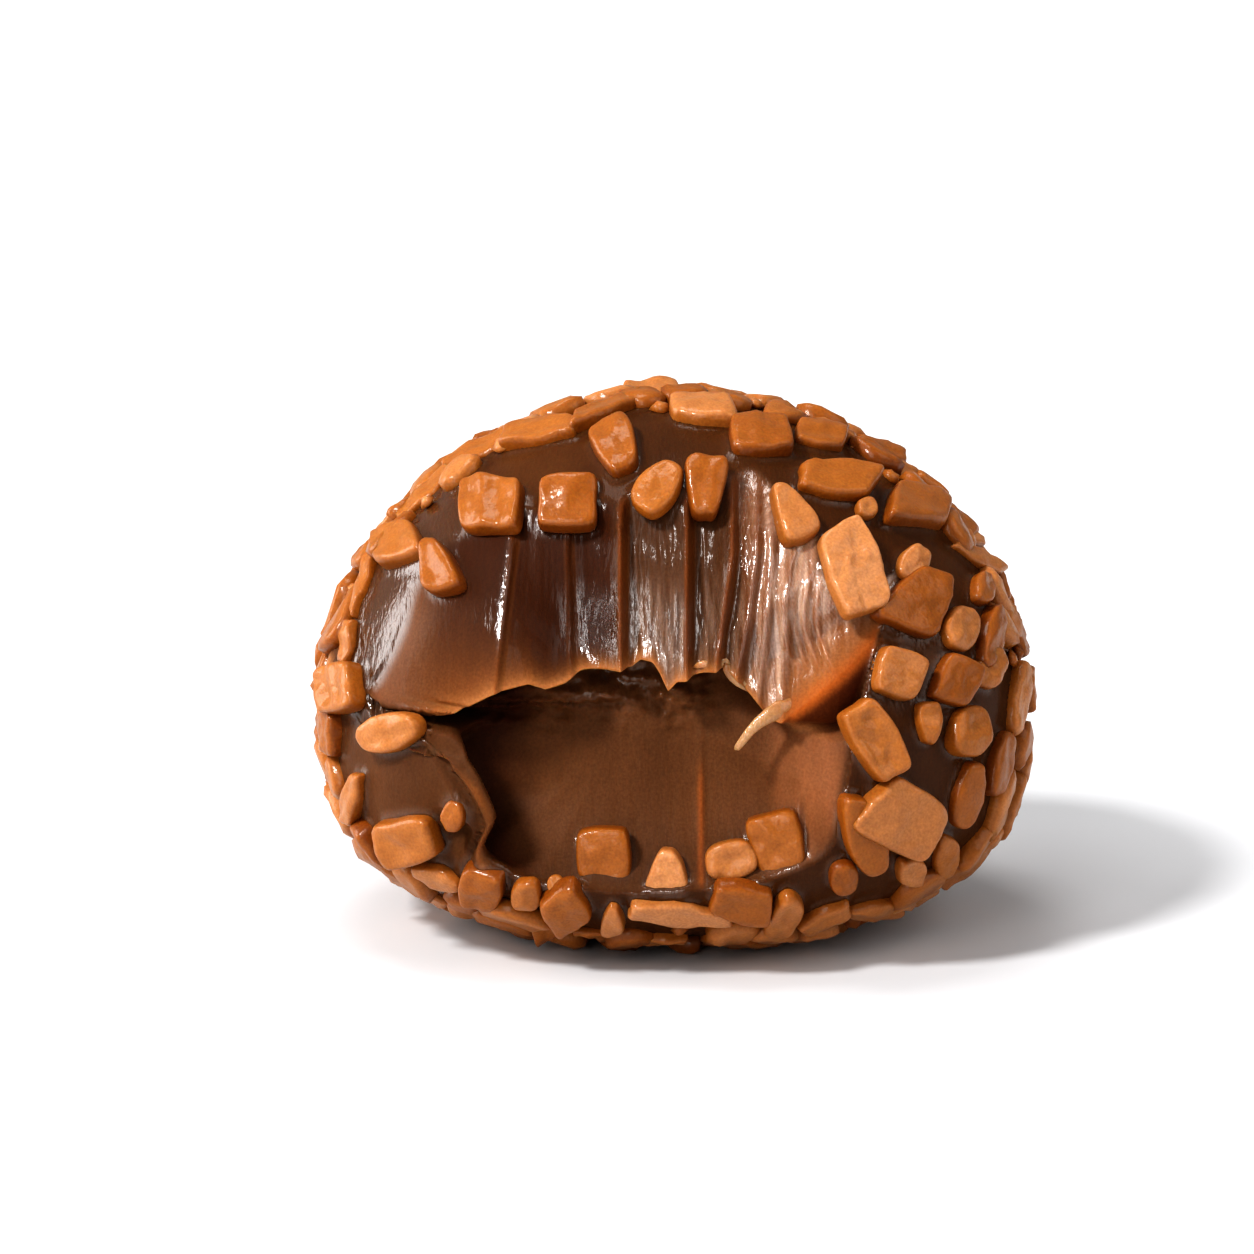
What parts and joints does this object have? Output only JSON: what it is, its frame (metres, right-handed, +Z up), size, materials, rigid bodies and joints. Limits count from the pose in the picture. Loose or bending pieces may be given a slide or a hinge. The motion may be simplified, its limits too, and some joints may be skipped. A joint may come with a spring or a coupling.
{
  "type": "brigadeiro",
  "caption": "Bitten ball of soft caramel fudge rolled in thick caramel flakes, lying on a small flat spot with its bite to the front.",
  "frame": {"origin": "middle of the small flat spot that the ball rests on, below the middle of its widest level", "axes": "+X to the right as the bite is faced, +Y away from the bite to the ball's back, +Z up"},
  "size_m": [0.036, 0.0323, 0.0268],
  "materials": {
    "fudge": "soft dark caramel-brown fudge, glossy where teeth scraped it and matt where it tore",
    "flakes": "waxy caramel-coloured flakes with a soft sheen and rounded edges"
  },
  "bodies": {
    "root": {"brigadeiro": "fudge"}
  },
  "joints": []
}
